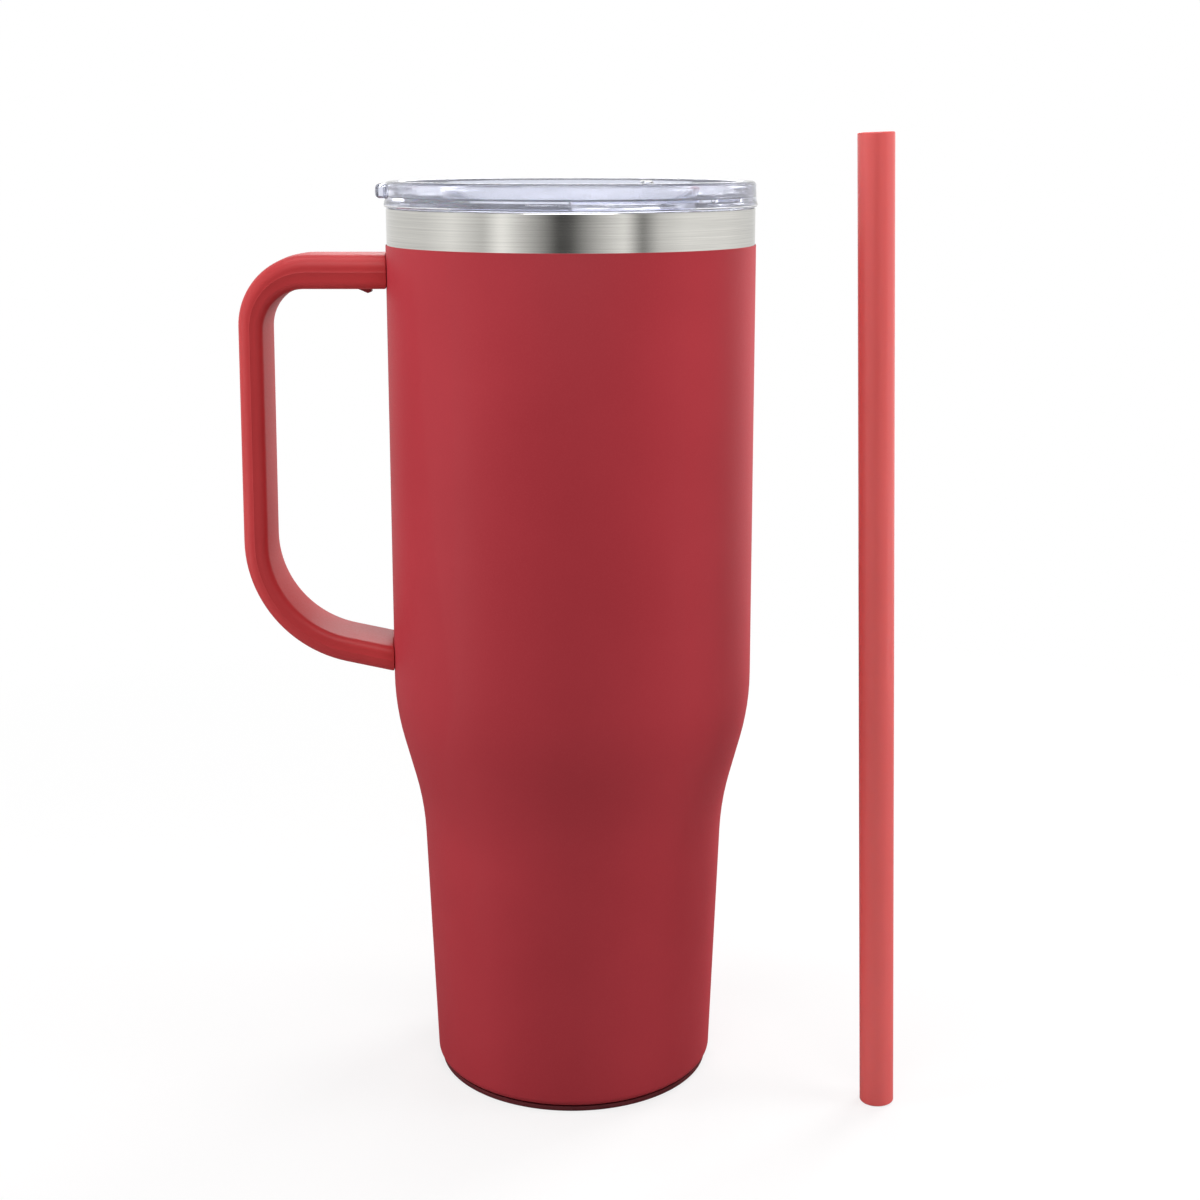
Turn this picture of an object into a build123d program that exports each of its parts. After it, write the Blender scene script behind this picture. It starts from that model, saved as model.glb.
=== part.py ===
"""Insulated travel mug with a side handle, a clear press-in lid with a sip slider, and a loose straw.

Millimetres. +Z is up and the origin is the centre of the base, on the surface that the mug stands on.
The handle points along -X. The double wall is two steel shells welded at the lip, with a vacuum between.
"""

import os
from math import cos, radians, sin, tan

from build123d import *

# ---------------------------------------------------------------- vessel
LIP_Z = 249.0  # top of the steel lip
LIP_R = 50.0  # outside radius of the steel at the lip
SHOULDER_R, SHOULDER_Z = 50.65, 109.7  # corner where the upper wall turns in
WAIST_R, WAIST_Z = 43.0, 80.7  # corner where the cup-holder section starts
FOOT_R, FOOT_Z = 40.15, 1.9  # bottom corner of the steel shell
SHOULDER_BEND, WAIST_BEND, FOOT_BEND = 70.0, 85.0, 2.2
SHELL_T = 0.5
LINER_T = 0.4
VACUUM_GAP = 3.2
LINER_INSET = SHELL_T + VACUUM_GAP
LINER_FLOOR_Z, LINER_BEND = 11.0, 9.0
FLARE_TOP_Z, FLARE_LOW_Z = 245.2, 238.6  # the liner opens out here to meet the shell
LIP_ROUND = 0.3
COAT_T = 0.3
COAT_TOP_Z = 239.2  # the steel above this line is left bare
COAT_INNER_R = 38.3  # the coat stops short of the foot pad
FOIL_T, FOIL_LOW_Z, FOIL_TOP_Z = 0.1, 22.0, 232.0

# ---------------------------------------------------------------- base
SHELL_HOLE_R = 30.0  # opening in the shell's turned-in bottom
BOTTOM_R, BOTTOM_STEP_R, BOTTOM_DISH_R, BOTTOM_RISE = 36.5, 27.5, 25.0, 2.2
PORT_R, DIMPLE_R, DIMPLE_TOP_R, DIMPLE_RISE = 1.2, 4.6, 3.4, 1.4
BEAD_R, BEAD_DROP = 2.6, 0.8
GETTER_R, GETTER_H, GETTER_X = 4.0, 2.0, 14.0
STRAP_L, STRAP_W, STRAP_T = 15.0, 3.0, 0.25
PLATE_R, PLATE_T = 31.4, 0.6
PLATE_GROOVE_R, PLATE_GROOVE_W, PLATE_GROOVE_H = 22.2, 0.8, 0.15
PAD_R, PAD_NECK_R, PAD_HOLE_R, PAD_STEP_Z, PAD_ROUND = 39.4, 38.1, 31.8, 1.5, 0.5
PAD_GROOVES = (33.6, 35.6, 37.6)
PAD_GROOVE_W, PAD_GROOVE_H = 0.9, 0.5

# ---------------------------------------------------------------- handle
HANDLE_W = 21.0
HANDLE_ROOT = 46.0  # the arms start inside the wall and are trimmed to it
ARM_TOP_Z, ARM_LOW_Z = 236.6, 227.6  # faces of the upper arm
GRIP_OUT, GRIP_IN = 90.0, 83.3  # faces of the grip at the upper arm
GRIP_LEAN = 1.0  # degrees, the grip leans away from the mug going down
FOOT_ARM_SLOPE = 12.0  # degrees, the lower arm falls towards the wall
FOOT_ARM_R, FOOT_ARM_OUT_Z, FOOT_ARM_IN_Z = 54.0, 121.1, 128.5
TOP_BEND_OUT, TOP_BEND_IN = 19.5, 11.5
LOW_BEND_OUT, LOW_BEND_IN = 35.0, 27.0
OUTER_ROUND, INNER_ROUND = 3.6, 2.2
TRIM_GAP = 0.05

# ------------------------------------------- handle fixings, heights measured up from an arm's underside
UPPER_FIX_R, LOWER_FIX_R = 57.0, 58.5  # distance of each screw from the mug's axis
LUG_LOW, LUG_T, LUG_W, LUG_END, LUG_REACH = 4.0, 2.0, 10.0, 4.5, 12.0
LUG_GAP = 0.1
SCREW_R, SCREW_HEAD_R, SCREW_HEAD_H, SCREW_LOW = 1.45, 2.7, 1.6, 1.3
SCREW_HOLE_R, THREAD_HOLE_R, HEAD_HOLE_R = 1.7, 1.5, 3.0
HEX_R, HEX_DEPTH = 1.15, 0.9
COVER_R, COVER_T = 2.95, 1.2
COVER_LIP_L, COVER_LIP_W, COVER_LIP_DROP = 4.6, 4.0, 1.6  # finger-nail lip of a screw cover

# ---------------------------------------------------------------- lid
LID_R, LID_LOW_Z, LID_TOP_Z, LID_ROUND = 50.05, 249.1, 256.0, 1.2
LID_SKIRT_R, LID_BEAD_R, LID_BEAD_H, LID_BEAD_ROUND = 50.2, 50.55, 2.0, 0.7
LID_RIM_IN_R, LID_DISH_R, LID_FLOOR_Z, LID_FLOOR_T = 47.0, 44.9, 251.4, 2.2
PLUG_R, PLUG_IN_R, PLUG_LOW_Z, PLUG_CHAMFER = 45.2, 42.6, 233.4, 0.5
GROOVE_LOW_Z, GROOVE_H, GROOVE_R = 234.8, 3.2, 43.7
SEAL_R, SEAL_CORE_R = 45.7, 44.9
TAB_REACH, TAB_W, TAB_LOW_Z, TAB_TOP_Z, TAB_ROUND = 2.2, 18.0, 251.4, 255.4, 1.3
SIP_X, SIP_L, SIP_W = 32.0, 9.0, 16.0
STRAW_PORT_X, STRAW_PORT_R = -25.0, 6.8
GROMMET_R, GROMMET_FLANGE_R, GROMMET_FLANGE_T = 5.1, 8.4, 0.9
VENT_X, VENT_Y, VENT_R = 30.0, 17.0, 0.9
SLIDE_TRAVEL = 17.0
SLIDER_X, SLIDER_L, SLIDER_W, SLIDER_T, SLIDER_GAP = 28.5, 25.0, 22.0, 2.2, 0.15
THUMB_X, THUMB_L, THUMB_W, THUMB_H = 20.5, 4.0, 15.0, 2.3
STEM_X, STEM_L, STEM_W = 20.5, 7.0, 4.6
SLOT_GAP = 0.3
SLIDER_PAD_L, SLIDER_PAD_W, SLIDER_PAD_T, SLIDER_PAD_HANG = 12.5, 19.0, 0.9, 0.09
KEEPER_L, KEEPER_W, KEEPER_T = 13.0, 11.0, 1.4
GUIDE_W, GUIDE_H, GUIDE_GAP, GUIDE_X0, GUIDE_X1 = 1.2, 1.1, 0.3, -3.0, 41.5

# ---------------------------------------------------------------- straw
STRAW_X, STRAW_Y = 87.0, -32.3  # centre of its foot
STRAW_LEAN = 2.0  # degrees, its top leans towards the mug
STRAW_L, STRAW_R, STRAW_T, STRAW_ROUND = 268.5, 4.75, 1.15, 0.4


def wall_radius(z, inset):
    """Radius of the upper wall at a height, measured in from the steel's outer face."""
    return LIP_R + (SHOULDER_R - LIP_R) * (LIP_Z - z) / (LIP_Z - SHOULDER_Z) - inset


def wall_solid(inset, floor_z, top_z, bend, flare=0.0):
    """Solid of revolution inside the wall; flare widens the mouth above the straight wall."""
    foot_r = FOOT_R + (WAIST_R - FOOT_R) * (floor_z - FOOT_Z) / (WAIST_Z - FOOT_Z) - inset
    with BuildPart() as solid:
        with BuildSketch(Plane.XZ):
            with BuildLine():
                side = FilletPolyline(
                    (wall_radius(top_z, inset), top_z),
                    (SHOULDER_R - inset, SHOULDER_Z),
                    (WAIST_R - inset, WAIST_Z),
                    (foot_r, floor_z),
                    (0, floor_z),
                    radius=[SHOULDER_BEND - inset, WAIST_BEND + inset, bend],
                )
                if flare:
                    mouth = Spline(
                        side @ 0,
                        (wall_radius(FLARE_TOP_Z, inset - flare), FLARE_TOP_Z),
                        tangents=[(0, 1), (0, 1)],
                    )
                    rim = Line(mouth @ 1, (wall_radius(LIP_Z, inset - flare), LIP_Z))
                    Polyline(rim @ 1, (0, LIP_Z), side @ 1)
                else:
                    Polyline(side @ 0, (0, top_z), side @ 1)
            make_face()
        revolve(axis=Axis.Z)
    return solid.part


def lug_block(plane, gap):
    """Tongue about a screw's axis, grown by gap on every face that the handle slides over."""
    with BuildPart() as block:
        with BuildSketch(plane.offset(LUG_LOW - gap)):
            with Locations(((LUG_END + gap - LUG_REACH) / 2, 0)):
                RectangleRounded(LUG_REACH + LUG_END + gap, LUG_W + 2 * gap, 1.5)
        extrude(amount=LUG_T + 2 * gap)
    return block.part


def band(low_z, high_z, reach=80.0):
    """Thick slice of space between two heights."""
    with BuildPart() as space:
        with BuildSketch(Plane.XY.offset(low_z)):
            Circle(reach)
        extrude(amount=high_z - low_z)
    return space.part


os.makedirs("parts", exist_ok=True)

# ================================================================ planes of the two handle fixings
slope = radians(FOOT_ARM_SLOPE)
lower_fix_z = FOOT_ARM_OUT_Z + (LOWER_FIX_R - FOOT_ARM_R) * tan(slope)
upper_plane = Plane(origin=(-UPPER_FIX_R, 0, ARM_LOW_Z), x_dir=(-1, 0, 0), z_dir=(0, 0, 1))
lower_plane = Plane(
    origin=(-LOWER_FIX_R, 0, lower_fix_z),
    x_dir=(-cos(slope), 0, sin(slope)),
    z_dir=(sin(slope), 0, cos(slope)),
)

# ================================================================ shared solids
steel_outside = wall_solid(0, FOOT_Z, LIP_Z, FOOT_BEND)
coat_outside = wall_solid(-COAT_T, FOOT_Z - COAT_T, LIP_Z, FOOT_BEND + COAT_T)
trim_outside = wall_solid(-COAT_T - TRIM_GAP, FOOT_Z - COAT_T, LIP_Z, FOOT_BEND + COAT_T)
liner_outside = wall_solid(LINER_INSET, LINER_FLOOR_Z, FLARE_LOW_Z, LINER_BEND, VACUUM_GAP)
liner_inside = wall_solid(
    LINER_INSET + LINER_T, LINER_FLOOR_Z + LINER_T, FLARE_LOW_Z, LINER_BEND - LINER_T, VACUUM_GAP
)

# ================================================================ vessel walls
with BuildPart() as outer_shell:
    add(steel_outside)
    add(wall_solid(SHELL_T, FOOT_Z + SHELL_T, LIP_Z, FOOT_BEND - SHELL_T), mode=Mode.SUBTRACT)
    with BuildSketch(Plane.XY):
        Circle(SHELL_HOLE_R)
    extrude(amount=FOOT_Z + 2 * SHELL_T, mode=Mode.SUBTRACT)
    lip_edges = outer_shell.edges().filter_by(GeomType.CIRCLE).group_by(Axis.Z)[-1]
    fillet(lip_edges.sort_by(SortBy.RADIUS)[-1], LIP_ROUND)
outer_shell.part.label = "outer_shell"
export_step(outer_shell.part, "parts/outer_shell.step")

with BuildPart() as inner_liner:
    add(liner_outside)
    add(liner_inside, mode=Mode.SUBTRACT)
    lip_edges = inner_liner.edges().filter_by(GeomType.CIRCLE).group_by(Axis.Z)[-1]
    fillet(lip_edges.sort_by(SortBy.RADIUS)[0], LIP_ROUND)
inner_liner.part.label = "inner_liner"
export_step(inner_liner.part, "parts/inner_liner.step")

with BuildPart() as powder_coat:
    add(coat_outside)
    add(steel_outside, mode=Mode.SUBTRACT)
    add(band(COAT_TOP_Z, LIP_Z + 1), mode=Mode.SUBTRACT)
    with BuildSketch(Plane.XY):
        Circle(COAT_INNER_R)
    extrude(amount=FOOT_Z, mode=Mode.SUBTRACT)
    add(lug_block(upper_plane, 0), mode=Mode.SUBTRACT)
    add(lug_block(lower_plane, 0), mode=Mode.SUBTRACT)
powder_coat.part.label = "powder_coat"
export_step(powder_coat.part, "parts/powder_coat.step")

# Radiation shield: foil wrapped round the liner, inside the vacuum.
with BuildPart() as copper_foil:
    add(wall_solid(LINER_INSET - FOIL_T, LINER_FLOOR_Z, FLARE_LOW_Z, LINER_BEND))
    add(wall_solid(LINER_INSET, LINER_FLOOR_Z, FLARE_LOW_Z, LINER_BEND), mode=Mode.SUBTRACT)
    add(band(FOIL_LOW_Z, FOIL_TOP_Z), mode=Mode.INTERSECT)
copper_foil.part.label = "copper_foil"
export_step(copper_foil.part, "parts/copper_foil.step")

# ================================================================ base
flange_z = FOOT_Z + SHELL_T
dish_z = flange_z + BOTTOM_RISE
dimple_z = dish_z + DIMPLE_RISE
with BuildPart() as shell_bottom:
    with BuildSketch(Plane.XZ):
        with BuildLine():
            Polyline(
                (PORT_R, dimple_z),
                (DIMPLE_TOP_R, dimple_z),
                (DIMPLE_R, dish_z),
                (BOTTOM_DISH_R, dish_z),
                (BOTTOM_STEP_R, flange_z),
                (BOTTOM_R, flange_z),
                (BOTTOM_R, flange_z + SHELL_T),
                (BOTTOM_STEP_R + 0.3, flange_z + SHELL_T),
                (BOTTOM_DISH_R + 0.3, dish_z + SHELL_T),
                (DIMPLE_R + 0.3, dish_z + SHELL_T),
                (DIMPLE_TOP_R + 0.3, dimple_z + SHELL_T),
                (PORT_R, dimple_z + SHELL_T),
                close=True,
            )
        make_face()
    revolve(axis=Axis.Z)
shell_bottom.part.label = "shell_bottom"
export_step(shell_bottom.part, "parts/shell_bottom.step")

# Solder bead that closes the port after the air is pumped out.
with BuildPart() as vacuum_seal:
    with BuildSketch(Plane.XZ):
        with BuildLine():
            Polyline(
                (0, dimple_z - BEAD_DROP),
                (BEAD_R * 0.7, dimple_z - BEAD_DROP),
                (BEAD_R, dimple_z - 0.25),
                (BEAD_R, dimple_z),
                (PORT_R, dimple_z),
                (PORT_R, dimple_z + SHELL_T),
                (0, dimple_z + SHELL_T),
                close=True,
            )
        make_face()
    revolve(axis=Axis.Z)
vacuum_seal.part.label = "vacuum_seal"
export_step(vacuum_seal.part, "parts/vacuum_seal.step")

with BuildPart() as getter_pill:
    with BuildSketch(Plane.XY.offset(dish_z + SHELL_T)):
        with Locations((GETTER_X, 0)):
            Circle(GETTER_R)
    extrude(amount=GETTER_H)
    fillet(getter_pill.edges().group_by(Axis.Z)[-1], 0.3)
getter_pill.part.label = "getter_pill"
export_step(getter_pill.part, "parts/getter_pill.step")

# Bridge strap spot-welded over the pill.
strap_z = dish_z + SHELL_T
with BuildPart() as getter_strap:
    with BuildSketch(Plane.XZ.offset(-STRAP_W / 2)):
        with BuildLine():
            Polyline(
                (GETTER_X - STRAP_L / 2, strap_z),
                (GETTER_X - GETTER_R - STRAP_T, strap_z),
                (GETTER_X - GETTER_R - STRAP_T, strap_z + GETTER_H),
                (GETTER_X + GETTER_R + STRAP_T, strap_z + GETTER_H),
                (GETTER_X + GETTER_R + STRAP_T, strap_z),
                (GETTER_X + STRAP_L / 2, strap_z),
                (GETTER_X + STRAP_L / 2, strap_z + STRAP_T),
                (GETTER_X + GETTER_R + 2 * STRAP_T, strap_z + STRAP_T),
                (GETTER_X + GETTER_R + 2 * STRAP_T, strap_z + GETTER_H + STRAP_T),
                (GETTER_X - GETTER_R - 2 * STRAP_T, strap_z + GETTER_H + STRAP_T),
                (GETTER_X - GETTER_R - 2 * STRAP_T, strap_z + STRAP_T),
                (GETTER_X - STRAP_L / 2, strap_z + STRAP_T),
                close=True,
            )
        make_face()
    extrude(amount=STRAP_W)
getter_strap.part.label = "getter_strap"
export_step(getter_strap.part, "parts/getter_strap.step")

with BuildPart() as base_plate:
    with BuildSketch(Plane.XY.offset(FOOT_Z - PLATE_T)):
        Circle(PLATE_R)
    extrude(amount=PLATE_T)
    with BuildSketch(Plane.XY.offset(FOOT_Z - PLATE_T)):
        Circle(PLATE_GROOVE_R + PLATE_GROOVE_W / 2)
        Circle(PLATE_GROOVE_R - PLATE_GROOVE_W / 2, mode=Mode.SUBTRACT)
    extrude(amount=PLATE_GROOVE_H, mode=Mode.SUBTRACT)
base_plate.part.label = "base_plate"
export_step(base_plate.part, "parts/base_plate.step")

with BuildPart() as base_pad:
    with BuildSketch(Plane.XY):
        Circle(PAD_R)
        Circle(PAD_HOLE_R, mode=Mode.SUBTRACT)
    extrude(amount=PAD_STEP_Z)
    fillet(base_pad.edges().group_by(Axis.Z)[0].sort_by(SortBy.RADIUS)[-1], PAD_ROUND)
    with BuildSketch(Plane.XY.offset(PAD_STEP_Z)):
        Circle(PAD_NECK_R)
        Circle(PAD_HOLE_R, mode=Mode.SUBTRACT)
    extrude(amount=FOOT_Z - PAD_STEP_Z)
    for groove_r in PAD_GROOVES:
        with BuildSketch(Plane.XY):
            Circle(groove_r + PAD_GROOVE_W / 2)
            Circle(groove_r - PAD_GROOVE_W / 2, mode=Mode.SUBTRACT)
        extrude(amount=PAD_GROOVE_H, mode=Mode.SUBTRACT)
base_pad.part.label = "base_pad"
export_step(base_pad.part, "parts/base_pad.step")

# ================================================================ handle fixings
with BuildPart() as upper_lug:
    add(lug_block(upper_plane, 0))
    add(steel_outside, mode=Mode.SUBTRACT)
    with BuildSketch(upper_plane):
        Circle(THREAD_HOLE_R)
    extrude(amount=ARM_TOP_Z - ARM_LOW_Z, mode=Mode.SUBTRACT)
upper_lug.part.label = "upper_lug"
export_step(upper_lug.part, "parts/upper_lug.step")

with BuildPart() as lower_lug:
    add(lug_block(lower_plane, 0))
    add(steel_outside, mode=Mode.SUBTRACT)
    with BuildSketch(lower_plane):
        Circle(THREAD_HOLE_R)
    extrude(amount=FOOT_ARM_IN_Z - FOOT_ARM_OUT_Z, mode=Mode.SUBTRACT)
lower_lug.part.label = "lower_lug"
export_step(lower_lug.part, "parts/lower_lug.step")


def screw_solid(plane):
    """Button screw driven up through the handle into a lug."""
    with BuildPart() as screw:
        with BuildSketch(plane.offset(SCREW_LOW)):
            Circle(SCREW_HEAD_R)
        extrude(amount=SCREW_HEAD_H)
        with BuildSketch(plane.offset(SCREW_LOW + SCREW_HEAD_H)):
            Circle(SCREW_R)
        extrude(amount=LUG_LOW + LUG_T - SCREW_LOW - SCREW_HEAD_H)
        with BuildSketch(plane.offset(SCREW_LOW)):
            RegularPolygon(radius=HEX_R, side_count=6)
        extrude(amount=HEX_DEPTH, mode=Mode.SUBTRACT)
    return screw.part


with BuildPart() as upper_screw:
    add(screw_solid(upper_plane))
upper_screw.part.label = "upper_screw"
export_step(upper_screw.part, "parts/upper_screw.step")

with BuildPart() as lower_screw:
    add(screw_solid(lower_plane))
lower_screw.part.label = "lower_screw"
export_step(lower_screw.part, "parts/lower_screw.step")


def cover_solid(plane):
    """Push-in cover with a wedge lip that a finger nail can catch."""
    with BuildPart() as cover:
        with BuildSketch(plane):
            Circle(COVER_R)
        extrude(amount=COVER_T)
        side_plane = Plane(origin=plane.origin, x_dir=plane.x_dir, z_dir=-plane.y_dir)
        with BuildSketch(side_plane.offset(-COVER_LIP_W / 2)):
            with BuildLine():
                Polyline(
                    (COVER_LIP_L / 2, 0),
                    (-COVER_LIP_L / 2 + 0.9, -COVER_LIP_DROP),
                    (-COVER_LIP_L / 2, -COVER_LIP_DROP * 0.8),
                    (-COVER_LIP_L / 2, 0.3),
                    (COVER_LIP_L / 2, 0.3),
                    close=True,
                )
            make_face()
        extrude(amount=COVER_LIP_W)
        with BuildSketch(plane.offset(-COVER_LIP_DROP)):
            Circle(COVER_R - 0.1)
        extrude(amount=COVER_LIP_DROP + COVER_T, mode=Mode.INTERSECT)
    return cover.part


with BuildPart() as upper_cover:
    add(cover_solid(upper_plane))
upper_cover.part.label = "upper_cover"
export_step(upper_cover.part, "parts/upper_cover.step")

with BuildPart() as lower_cover:
    add(cover_solid(lower_plane))
lower_cover.part.label = "lower_cover"
export_step(lower_cover.part, "parts/lower_cover.step")


# ================================================================ handle
def side_line(arm_z, grip_r, foot_z, bends):
    """Arm, leaning grip and sloping lower arm as one bent line in the XZ plane."""
    lean = tan(radians(GRIP_LEAN))
    fall = tan(slope)
    corner_r = (grip_r + lean * (arm_z - foot_z + fall * FOOT_ARM_R)) / (1 + lean * fall)
    return FilletPolyline(
        (-HANDLE_ROOT, arm_z),
        (-grip_r, arm_z),
        (-corner_r, foot_z + (corner_r - FOOT_ARM_R) * fall),
        (-HANDLE_ROOT, foot_z + (HANDLE_ROOT - FOOT_ARM_R) * fall),
        radius=bends,
    )


with BuildPart() as handle:
    with BuildSketch(Plane.XZ):
        with BuildLine():
            outside = side_line(ARM_TOP_Z, GRIP_OUT, FOOT_ARM_OUT_Z, [TOP_BEND_OUT, LOW_BEND_OUT])
            inside = side_line(ARM_LOW_Z, GRIP_IN, FOOT_ARM_IN_Z, [TOP_BEND_IN, LOW_BEND_IN])
            Line(outside @ 0, inside @ 0)
            Line(outside @ 1, inside @ 1)
        make_face()
    extrude(amount=HANDLE_W / 2, both=True)
    side_faces = handle.faces().filter_by(Axis.Y)
    for line, round_r in ((outside, OUTER_ROUND), (inside, INNER_ROUND)):
        long_edges = []
        for edge in side_faces.edges():
            middle = edge @ 0.5
            if line.distance_to(Vector(middle.X, middle.Z, 0)) < 0.01:
                long_edges.append(edge)
        fillet(long_edges, round_r)
        side_faces = handle.faces().filter_by(Axis.Y)
    add(trim_outside, mode=Mode.SUBTRACT)
    for plane in (upper_plane, lower_plane):
        add(lug_block(plane, LUG_GAP), mode=Mode.SUBTRACT)
        with BuildSketch(plane):
            Circle(HEAD_HOLE_R)
        extrude(amount=SCREW_LOW + SCREW_HEAD_H, mode=Mode.SUBTRACT)
        with BuildSketch(plane):
            Circle(SCREW_HOLE_R)
        extrude(amount=LUG_LOW, mode=Mode.SUBTRACT)
handle.part.label = "handle"
export_step(handle.part, "parts/handle.step")

# ================================================================ lid
floor_low_z = LID_FLOOR_Z - LID_FLOOR_T
with BuildPart() as lift_tab:
    with BuildSketch(Plane.XY.offset(TAB_LOW_Z)):
        with Locations((-LID_R, 0)):
            RectangleRounded(2 * TAB_REACH, TAB_W, TAB_REACH - 0.05)
    extrude(amount=TAB_TOP_Z - TAB_LOW_Z)
    fillet(lift_tab.edges().group_by(Axis.Z)[-1], TAB_ROUND)
    fillet(lift_tab.edges().group_by(Axis.Z)[0], TAB_ROUND)

with BuildPart() as lid_body:
    with BuildSketch(Plane.XZ):
        with BuildLine():
            Polyline(
                (0, floor_low_z),
                (PLUG_IN_R, floor_low_z),
                (PLUG_IN_R, PLUG_LOW_Z),
                (PLUG_R - PLUG_CHAMFER, PLUG_LOW_Z),
                (PLUG_R, PLUG_LOW_Z + PLUG_CHAMFER),
                (PLUG_R, GROOVE_LOW_Z),
                (GROOVE_R, GROOVE_LOW_Z),
                (GROOVE_R, GROOVE_LOW_Z + GROOVE_H),
                (PLUG_R, GROOVE_LOW_Z + GROOVE_H),
                (PLUG_R, LID_LOW_Z),
                (LID_BEAD_R, LID_LOW_Z),
                (LID_BEAD_R, LID_LOW_Z + LID_BEAD_H / 2),
                (LID_SKIRT_R, LID_LOW_Z + LID_BEAD_H),
                (LID_R, LID_TOP_Z),
                (LID_RIM_IN_R, LID_TOP_Z),
                (LID_DISH_R, LID_FLOOR_Z),
                (0, LID_FLOOR_Z),
                close=True,
            )
        make_face()
        top_corners = vertices().filter_by_position(Axis.Y, LID_TOP_Z - 0.01, LID_TOP_Z + 0.01)
        fillet(top_corners, LID_ROUND)
        dish_corner = vertices().filter_by_position(Axis.Y, LID_FLOOR_Z - 0.01, LID_FLOOR_Z + 0.01)
        fillet(dish_corner.sort_by(Axis.X)[-1], LID_ROUND)
        bead_corner = vertices().filter_by_position(Axis.Y, LID_LOW_Z - 0.01, LID_LOW_Z + 0.01)
        fillet(bead_corner.sort_by(Axis.X)[-1], LID_BEAD_ROUND)
    revolve(axis=Axis.Z)
    add(lift_tab.part)
    guide_y = SLIDER_W / 2 + GUIDE_GAP + GUIDE_W / 2
    for side in (-1, 1):
        with BuildSketch(Plane.XY.offset(LID_FLOOR_Z)):
            with Locations(((GUIDE_X0 + GUIDE_X1) / 2, side * guide_y)):
                RectangleRounded(GUIDE_X1 - GUIDE_X0, GUIDE_W, GUIDE_W / 2 - 0.01)
        extrude(amount=GUIDE_H)
    slot_low_x = STEM_X - STEM_L / 2 - SLIDE_TRAVEL - SLOT_GAP
    slot_high_x = STEM_X + STEM_L / 2 + SLOT_GAP
    with BuildSketch(Plane.XY.offset(floor_low_z)):
        with Locations((SIP_X, 0)):
            RectangleRounded(SIP_L, SIP_W, 4.0)
        with Locations((STRAW_PORT_X, 0)):
            Circle(STRAW_PORT_R)
        with Locations((VENT_X, VENT_Y)):
            Circle(VENT_R)
        with Locations(((slot_low_x + slot_high_x) / 2, 0)):
            RectangleRounded(slot_high_x - slot_low_x, STEM_W + 2 * SLOT_GAP, 1.0)
    extrude(amount=LID_FLOOR_T, mode=Mode.SUBTRACT)
lid_body.part.label = "lid_body"
export_step(lid_body.part, "parts/lid_body.step")

with BuildPart() as lid_seal:
    seal_mid = GROOVE_LOW_Z + GROOVE_H / 2
    with BuildSketch(Plane.XZ):
        with BuildLine():
            Polyline(
                (GROOVE_R, GROOVE_LOW_Z),
                (SEAL_CORE_R, GROOVE_LOW_Z),
                (SEAL_R, GROOVE_LOW_Z + 0.7),
                (SEAL_R, GROOVE_LOW_Z + 0.95),
                (SEAL_CORE_R, seal_mid - 0.2),
                (SEAL_CORE_R, seal_mid + 0.2),
                (SEAL_R, seal_mid + 0.9),
                (SEAL_R, seal_mid + 1.15),
                (SEAL_CORE_R, GROOVE_LOW_Z + GROOVE_H),
                (GROOVE_R, GROOVE_LOW_Z + GROOVE_H),
                close=True,
            )
        make_face()
    revolve(axis=Axis.Z)
lid_seal.part.label = "lid_seal"
export_step(lid_seal.part, "parts/lid_seal.step")

with BuildPart() as straw_grommet:
    grommet_low = floor_low_z - GROMMET_FLANGE_T
    with BuildSketch(Plane.XY.offset(grommet_low)):
        with Locations((STRAW_PORT_X, 0)):
            Circle(GROMMET_FLANGE_R)
    extrude(amount=GROMMET_FLANGE_T)
    with BuildSketch(Plane.XY.offset(floor_low_z)):
        with Locations((STRAW_PORT_X, 0)):
            Circle(STRAW_PORT_R)
    extrude(amount=LID_FLOOR_T)
    with BuildSketch(Plane.XY.offset(LID_FLOOR_Z)):
        with Locations((STRAW_PORT_X, 0)):
            Circle(GROMMET_FLANGE_R)
    extrude(amount=GROMMET_FLANGE_T)
    fillet(straw_grommet.edges().group_by(Axis.Z)[-1], 0.35)
    with BuildSketch(Plane.XY.offset(grommet_low)):
        with Locations((STRAW_PORT_X, 0)):
            Circle(GROMMET_R)
    extrude(amount=LID_FLOOR_T + 2 * GROMMET_FLANGE_T, mode=Mode.SUBTRACT)
straw_grommet.part.label = "straw_grommet"
export_step(straw_grommet.part, "parts/straw_grommet.step")

# ================================================================ sip slider
slider_low_z = LID_FLOOR_Z + SLIDER_GAP
keeper_top_z = floor_low_z - SLIDER_GAP
with BuildPart() as slider:
    with BuildSketch(Plane.XY.offset(slider_low_z)):
        with Locations((SLIDER_X, 0)):
            RectangleRounded(SLIDER_L, SLIDER_W, 6.0)
    extrude(amount=SLIDER_T)
    fillet(slider.edges().group_by(Axis.Z)[-1], 0.6)
    with BuildSketch(Plane.XY.offset(slider_low_z + SLIDER_T)):
        with Locations((THUMB_X, 0)):
            RectangleRounded(THUMB_L, THUMB_W, 1.9)
    extrude(amount=THUMB_H, taper=8)
    fillet(slider.edges().group_by(Axis.Z)[-1], 0.5)
    with BuildSketch(Plane.XY.offset(slider_low_z)):
        with Locations((SIP_X, 0)):
            RectangleRounded(SLIDER_PAD_L, SLIDER_PAD_W, 4.5)
    extrude(amount=SLIDER_PAD_T - SLIDER_PAD_HANG, mode=Mode.SUBTRACT)
    with BuildSketch(Plane.XY.offset(keeper_top_z - KEEPER_T)):
        with Locations((STEM_X, 0)):
            RectangleRounded(STEM_L, STEM_W, 0.7)
    extrude(amount=slider_low_z - keeper_top_z + KEEPER_T)
slider.part.label = "slider"
export_step(slider.part, "parts/slider.step")

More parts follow.
